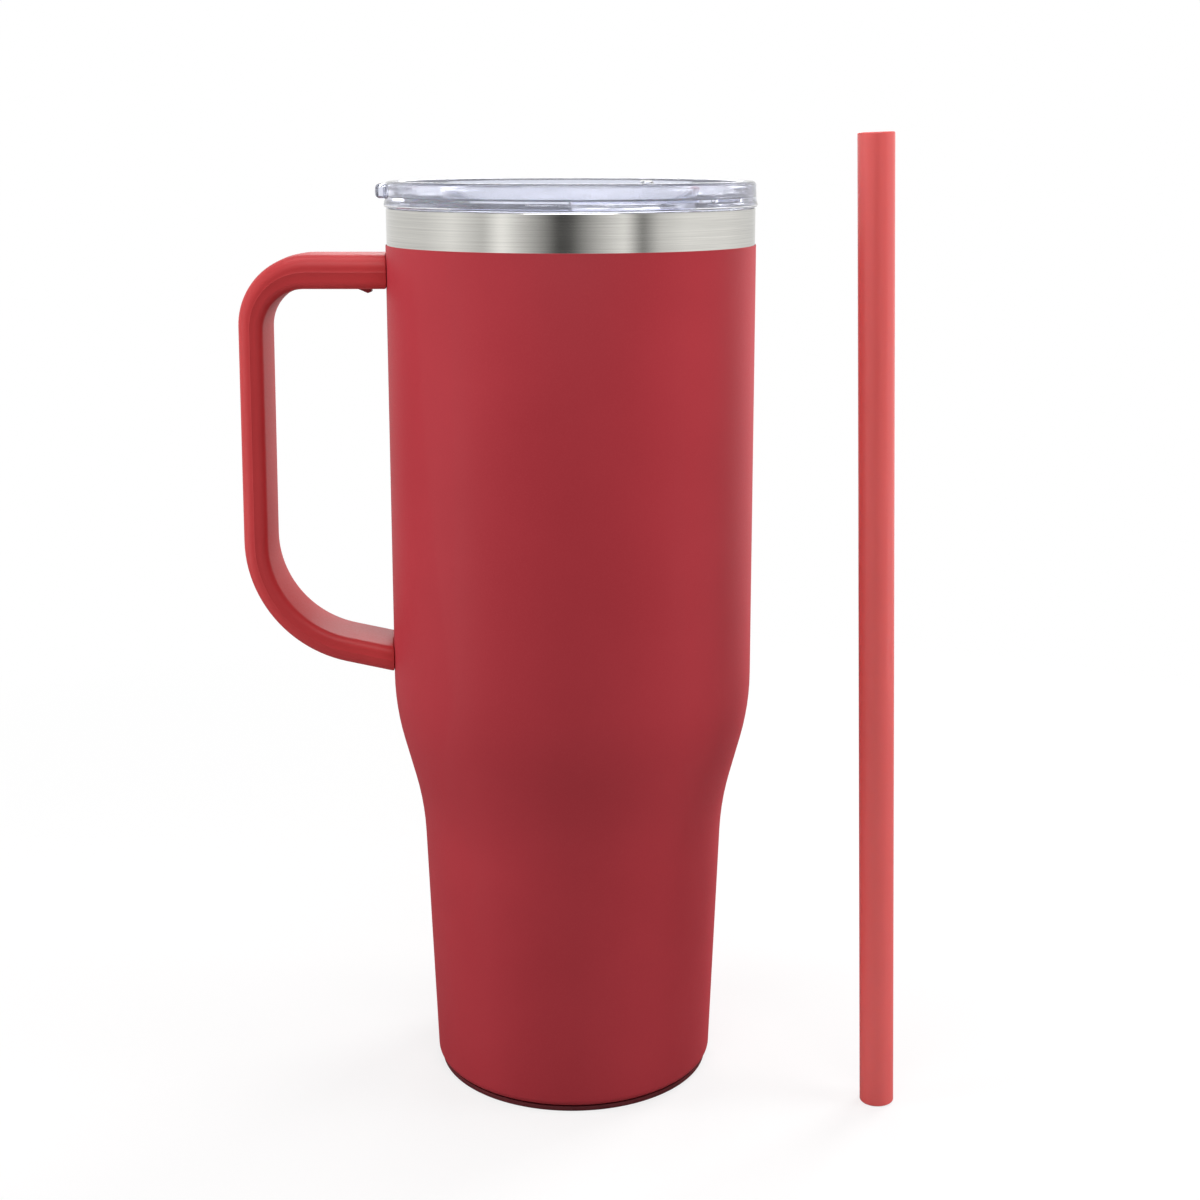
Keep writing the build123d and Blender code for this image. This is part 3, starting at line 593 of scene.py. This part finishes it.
def build_handle():
    """Sections from the upper arm's end round to the lower arm's end, skinned and closed."""
    outer = handle_line(ARM_TOP, GRIP_OUT, FOOT_OUT, TOP_BENDS[0], LOW_BENDS[0])
    inner = handle_line(ARM_LOW, GRIP_IN, FOOT_IN, TOP_BENDS[1], LOW_BENDS[1])
    rows = []
    for out, into in zip(outer, inner):
        way = (into - out).normalized()
        row = []
        for deep, across in handle_section((into - out).length):
            spot = out + way * deep
            row.append(Vector((-spot.x, across, spot.y)))
        rows.append(row)
    rows = [row for row in rows if min(sqrt(p.x ** 2 + p.y ** 2) for p in row) > CLEAR_R]
    upper_way = Vector((1, 0, 0))
    lower_way = Vector((cos(FALL_ANGLE), 0, -sin(FALL_ANGLE)))
    starts = end_rows(rows[0], upper_way)
    ends = end_rows(rows[-1], lower_way)
    bm = bmesh.new()
    vert_rows = [[bm.verts.new(p) for p in row] for row in starts + rows + ends[::-1]]
    for row, after in zip(vert_rows, vert_rows[1:]):
        for i in range(len(row)):
            j = (i + 1) % len(row)
            bm.faces.new((row[i], after[i], after[j], row[j]))
    for row in (vert_rows[0], vert_rows[-1]):
        centre = bm.verts.new(sum((v.co for v in row), Vector()) / len(row))
        for i in range(len(row)):
            bm.faces.new((row[i], row[(i + 1) % len(row)], centre))
    return bm


def fixing_hole(x, z, tilt):
    """Hole that a screw's head and its cover sit in, up from the underside of an arm."""
    bm = round_pin(0.0, 0.0, -1.0, HEAD_HOLE_H, HEAD_HOLE_R)
    place = Matrix.Translation((x, 0.0, z)) @ Matrix.Rotation(tilt, 4, "Y")
    bmesh.ops.transform(bm, matrix=place, verts=bm.verts)
    return bm


lower_fix_z = FOOT_OUT - (LOWER_FIX_X + FOOT_X) * FALL
upper_hole = fixing_hole(UPPER_FIX_X, ARM_LOW, 0.0)
lower_hole = fixing_hole(LOWER_FIX_X, lower_fix_z, FALL_ANGLE)
handle_shape = combined(build_handle(), "DIFFERENCE", upper_hole, lower_hole)
to_object("handle_loop", handle_shape, handle_red, "vessel", ("handle",), 40.0)

# ---------------------------------------------------------------- straw
# The straw stands beside the mug, and its top leans towards it.
STRAW_FOOT, STRAW_LEAN = (87.0, -32.3), radians(2.0)
STRAW_L, STRAW_R, STRAW_IN_R, STRAW_ROUND = 268.5, 4.75, 3.6, 0.4


def straw_mesh():
    """Tube with rounded ends, its outside in twelve lengths, leant and stood in its place."""
    corners = [(STRAW_R, 0.0, STRAW_ROUND)]
    corners += [(STRAW_R, STRAW_L * k / 12, 0) for k in range(1, 12)]
    corners += [(STRAW_R, STRAW_L, STRAW_ROUND), (STRAW_IN_R, STRAW_L, STRAW_ROUND)]
    corners += [(STRAW_IN_R, 0.0, STRAW_ROUND)]
    bm = lathe(rounded(corners, 12.0), 64)
    foot = Vector((*STRAW_FOOT, STRAW_R * sin(STRAW_LEAN)))
    turn = Matrix.Translation(foot) @ Matrix.Rotation(-STRAW_LEAN, 4, "Y")
    bmesh.ops.transform(bm, matrix=turn, verts=bm.verts)
    return bm


straw_piece = to_object("straw_tube", straw_mesh(), straw_red, "straw", ("straw",))
# The photo's steel shows no red stripe, so the straw stays out of reflections.
straw_piece.visible_glossy = False

# ---------------------------------------------------------------- lid
LID_R, LID_LOW_Z, LID_TOP_Z, LID_ROUND = 50.05, 249.1, 256.0, 1.2
LID_SKIRT_R, LID_BEAD_R, LID_BEAD_H, LID_BEAD_ROUND = 50.2, 50.55, 2.0, 0.7
LID_RIM_IN_R, LID_DISH_R, LID_FLOOR_Z, LID_FLOOR_T = 47.0, 44.9, 251.4, 2.2
PLUG_R, PLUG_IN_R, PLUG_LOW_Z, PLUG_CHAMFER = 45.2, 42.6, 233.4, 0.5
GROOVE_LOW_Z, GROOVE_H, GROOVE_R = 234.8, 3.2, 43.7
TAB_REACH, TAB_W, TAB_LOW_Z, TAB_TOP_Z = 2.2, 18.0, 251.4, 255.4
TAB_CORNER, TAB_ROUND = 2.1, 1.3
SIP_X, SIP_L, SIP_W, SIP_CORNER = 32.0, 9.0, 16.0, 4.0
PORT_X, PORT_R = -25.0, 6.8
VENT_X, VENT_Y, VENT_R = 30.0, 17.0, 0.9
SLOT_LOW_X, SLOT_HIGH_X, SLOT_W, SLOT_CORNER = -0.3, 24.3, 5.2, 1.0
GUIDE_LOW_X, GUIDE_HIGH_X, GUIDE_Y, GUIDE_W, GUIDE_H = -3.0, 41.5, 11.9, 1.2, 1.1
GUIDE_CORNER, GUIDE_ROUND, GUIDE_ROOT, HOLE_FLARE = 0.55, 0.25, 0.6, 0.25


def lid_loop():
    """Half section of the lid, from the middle of its floor out over the plug, skirt and rim."""
    low = LID_FLOOR_Z - LID_FLOOR_T
    corners = [(0.0, low, 0), (PLUG_IN_R, low, 0.6), (PLUG_IN_R, PLUG_LOW_Z, 0.4)]
    corners += [(PLUG_R - PLUG_CHAMFER, PLUG_LOW_Z, 0.3), (PLUG_R, PLUG_LOW_Z + PLUG_CHAMFER, 0.3)]
    corners += [(PLUG_R, GROOVE_LOW_Z, 0.1), (GROOVE_R, GROOVE_LOW_Z, 0.1)]
    corners += [(GROOVE_R, GROOVE_LOW_Z + GROOVE_H, 0.1), (PLUG_R, GROOVE_LOW_Z + GROOVE_H, 0.1)]
    corners += [(PLUG_R, LID_LOW_Z, 0.4), (LID_BEAD_R, LID_LOW_Z, LID_BEAD_ROUND)]
    corners += [(LID_BEAD_R, LID_LOW_Z + LID_BEAD_H / 2, 3.0)]
    corners += [(LID_SKIRT_R, LID_LOW_Z + LID_BEAD_H, 1.2)]
    corners += [(LID_R, LID_TOP_Z, LID_ROUND), (LID_RIM_IN_R, LID_TOP_Z, LID_ROUND)]
    corners += [(LID_DISH_R, LID_FLOOR_Z, LID_ROUND), (0.0, LID_FLOOR_Z, 0)]
    return rounded(corners, 10.0)


def lid_mesh():
    """The lid with its lift tab and slider guides, and its floor's four openings."""
    tab = block(
        (-LID_R - TAB_REACH, -TAB_W / 2, TAB_LOW_Z), (-LID_R + TAB_REACH, TAB_W / 2, TAB_TOP_Z),
        TAB_CORNER, TAB_ROUND,
    )
    guides = [
        block(
            (GUIDE_LOW_X, side * GUIDE_Y - GUIDE_W / 2, LID_FLOOR_Z - GUIDE_ROOT),
            (GUIDE_HIGH_X, side * GUIDE_Y + GUIDE_W / 2, LID_FLOOR_Z + GUIDE_H),
            GUIDE_CORNER, GUIDE_ROUND,
        )
        for side in (-1, 1)
    ]
    body = combined(lathe(lid_loop()), "UNION", tab, *guides)
    low, high = LID_FLOOR_Z - LID_FLOOR_T - 0.2, LID_FLOOR_Z + 0.2
    sip = block(
        (SIP_X - SIP_L / 2, -SIP_W / 2, low), (SIP_X + SIP_L / 2, SIP_W / 2, high),
        SIP_CORNER, flare=HOLE_FLARE,
    )
    slot = block(
        (SLOT_LOW_X, -SLOT_W / 2, low), (SLOT_HIGH_X, SLOT_W / 2, high),
        SLOT_CORNER, flare=HOLE_FLARE,
    )
    port = round_pin(PORT_X, 0.0, low, high, PORT_R)
    vent = round_pin(VENT_X, VENT_Y, low, high, VENT_R)
    return combined(body, "DIFFERENCE", sip, port, vent, slot)


to_object("lid_moulding", lid_mesh(), lid_clear, "lid", ("lid_body",), 28.0)

# ---------------------------------------------------------------- studio, metres
FLOOR_R, FADE_FROM_R, FADE_TO_R = 0.7, 0.1, 0.5
FLOOR_WHITE_LOW, FLOOR_GREY, FLOOR_MIRRORED = 0.75, 0.5, 0.18
ROOM_LEVEL = 0.01
TENT_TOP_LEVEL, TENT_TOP_FROM, TENT_TOP_FULL = 0.35, 0.45, 0.8
# Brightness of the tent that shiny pieces reflect, by direction in degrees: 0 is the camera's
# side and 90 is +x. The levels were worked out from the light and dark stripes of the photo's
# steel band: a dark gap about the camera, a dark flag at 45, and panels at -77, -42, 34 and 75.
TENT_LEVELS = (
    (-180, 0.85), (-100, 0.90), (-77, 1.15), (-54, 0.74), (-42, 1.35), (-30, 0.82),
    (-7, 0.07), (1, 0.10), (18, 0.66), (34, 1.15), (45, 0.27),
    (57, 0.86), (75, 1.10), (110, 1.08), (155, 0.78), (180, 0.85),
)


def studio_floor():
    """Pale round floor.

    The camera sees it fade to plain white. Reflections and other rays see it darker.
    """
    bm = bmesh.new()
    bmesh.ops.create_circle(bm, cap_ends=True, segments=96, radius=FLOOR_R)
    mesh = bpy.data.meshes.new("studio_floor")
    bm.to_mesh(mesh)
    bm.free()
    floor = bpy.data.objects.new("studio_floor", mesh)
    bpy.context.scene.collection.objects.link(floor)
    g = Graph(
        "studio_white", Roughness=0.9, Specular_IOR_Level=0.1, Base_Color=(0.9, 0.9, 0.9, 1.0),
    )

    def grey(level):
        colour = (level, level, level, 1.0)
        return g.node("ShaderNodeBsdfDiffuse", {"Color": colour}).outputs[0]

    def mixed(factor, a, b):
        return g.node("ShaderNodeMixShader", {0: factor, 1: a, 2: b}).outputs[0]

    reach = g.node("ShaderNodeVectorMath", {0: g.place}, operation="LENGTH").outputs["Value"]
    fade = g.fit(reach, FLOOR_WHITE_LOW, 1.0, FADE_FROM_R, FADE_TO_R)
    white = g.node("ShaderNodeEmission", {"Color": (1.0, 1.0, 1.0, 1.0), "Strength": 1.0})
    seen = mixed(fade, g.shader.outputs[0], white.outputs[0])
    path = g.node("ShaderNodeLightPath").outputs
    unseen = mixed(path["Is Glossy Ray"], grey(FLOOR_GREY), grey(FLOOR_MIRRORED))
    both = mixed(path["Is Camera Ray"], unseen, seen)
    g.links.new(both, g.nodes["Material Output"].inputs["Surface"])
    mesh.materials.append(g.material)


studio_floor()


def area_light(name, place, aim, size, shines, power):
    """Rectangular lamp. One that doesn't shine lights surfaces but isn't reflected in them."""
    lamp = bpy.data.lights.new(name, "AREA")
    lamp.shape = "RECTANGLE"
    lamp.size, lamp.size_y = size
    lamp.energy = power
    holder = bpy.data.objects.new(name, lamp)
    holder.location = place
    holder.rotation_euler = (Vector(aim) - Vector(place)).to_track_quat("-Z", "Y").to_euler()
    holder.visible_camera = False
    holder.visible_glossy = shines
    bpy.context.scene.collection.objects.link(holder)


# Name, place, aim, size, whether it shines in reflections, and power in watts.
for light in (
    ("top_strip", (-0.02, 0.0, 0.95), (0, 0, 0.1), (0.3, 1.0), True, 3.6),
    ("high_front", (0.0, -0.42, 0.62), (0, 0, 0.2), (0.5, 0.2), True, 1.8),
    ("left_panel", (-0.75, -0.15, 0.3), (0, 0, 0.13), (0.3, 0.8), False, 3.0),
    ("right_panel", (0.75, -0.15, 0.3), (0, 0, 0.13), (0.3, 0.8), False, 2.3),
    ("left_rim", (-0.5, 0.5, 0.35), (0, 0, 0.13), (0.3, 0.8), False, 0.5),
    ("right_rim", (0.5, 0.5, 0.35), (0, 0, 0.13), (0.3, 0.8), False, 4.8),
    ("low_front", (0.0, -0.3, 0.01), (0, 0, 0.06), (0.5, 0.12), False, 0.11),
    ("left_low", (-0.5, -0.15, 0.07), (0, 0, 0.04), (0.3, 0.12), False, 0.42),
    ("right_low", (0.5, -0.15, 0.07), (0, 0, 0.04), (0.3, 0.12), False, 0.4),
    ("back_panel", (0.0, 0.9, 0.66), (0, 0, 0.24), (0.4, 0.5), True, 2.0),
):
    area_light(*light)


def studio_world():
    """Surroundings of three kinds, by the ray that looks at them.

    The camera, also through clear plastic, sees plain white. Reflections see the tent of
    TENT_LEVELS, which evens out to one grey overhead. Other rays see a nearly black room.
    """
    world = bpy.data.worlds.new("studio_world")
    bpy.context.scene.world = world
    world.use_nodes = True
    nodes, links = world.node_tree.nodes, world.node_tree.links
    nodes.clear()

    def node(kind, inputs=None, **settings):
        made = nodes.new(kind)
        for key, value in settings.items():
            setattr(made, key, value)
        for key, value in (inputs or {}).items():
            if isinstance(value, bpy.types.NodeSocket):
                links.new(value, made.inputs[key])
            else:
                made.inputs[key].default_value = value
        return made

    def math(operation, *values):
        return node("ShaderNodeMath", dict(enumerate(values)), operation=operation).outputs[0]

    def background(colour, strength=1.0):
        made = node("ShaderNodeBackground", {"Color": colour, "Strength": strength})
        return made.outputs[0]

    def mixed(factor, a, b):
        return node("ShaderNodeMixShader", {0: factor, 1: a, 2: b}).outputs[0]

    way = node("ShaderNodeTexCoord").outputs["Generated"]
    split = node("ShaderNodeSeparateXYZ", {0: way}).outputs
    turn = math("ARCTAN2", split["X"], math("MULTIPLY", split["Y"], -1.0))
    ramp = node("ShaderNodeValToRGB", {"Fac": math("MULTIPLY_ADD", turn, 1 / (2 * pi), 0.5)})
    elements = ramp.color_ramp.elements
    for _ in range(len(TENT_LEVELS) - 2):
        elements.new(0.5)
    for element, (angle, level) in zip(elements, TENT_LEVELS):
        element.position = angle / 360 + 0.5
        element.color = (level, level, level * 0.985, 1.0)
    rise = node("ShaderNodeMapRange", {
        "Value": split["Z"],
        "From Min": TENT_TOP_FROM, "From Max": TENT_TOP_FULL,
        "To Min": 0.0, "To Max": 1.0,
    })
    blend = node("ShaderNodeMix", {"Factor": rise.outputs["Result"]}, data_type="RGBA")
    low_colour, top_colour = [s for s in blend.inputs if s.type == "RGBA"]
    links.new(ramp.outputs["Color"], low_colour)
    top_colour.default_value = (TENT_TOP_LEVEL, TENT_TOP_LEVEL, TENT_TOP_LEVEL, 1.0)
    tent = background([s for s in blend.outputs if s.type == "RGBA"][0])
    room = background((1.0, 1.0, 0.985, 1.0), ROOM_LEVEL)
    plain = background((1.0, 1.0, 1.0, 1.0))
    path = node("ShaderNodeLightPath").outputs
    lit = mixed(path["Is Glossy Ray"], room, tent)
    seen = math("MAXIMUM", path["Is Camera Ray"], path["Is Transmission Ray"])
    node("ShaderNodeOutputWorld", {"Surface": mixed(seen, lit, plain)})


studio_world()

CAMERA_PLACE, CAMERA_DOWN, CAMERA_LENS = (0.00791, -0.516, 0.264), 13.6, 55.78
camera_data = bpy.data.cameras.new("camera")
camera_data.lens = CAMERA_LENS
camera_data.sensor_width = 36.0
camera_data.clip_start = 0.01
camera = bpy.data.objects.new("camera", camera_data)
camera.location = CAMERA_PLACE
camera.rotation_euler = (radians(90 - CAMERA_DOWN), 0.0, 0.0)
bpy.context.scene.collection.objects.link(camera)
bpy.context.scene.camera = camera
bpy.context.scene.view_settings.view_transform = "Standard"
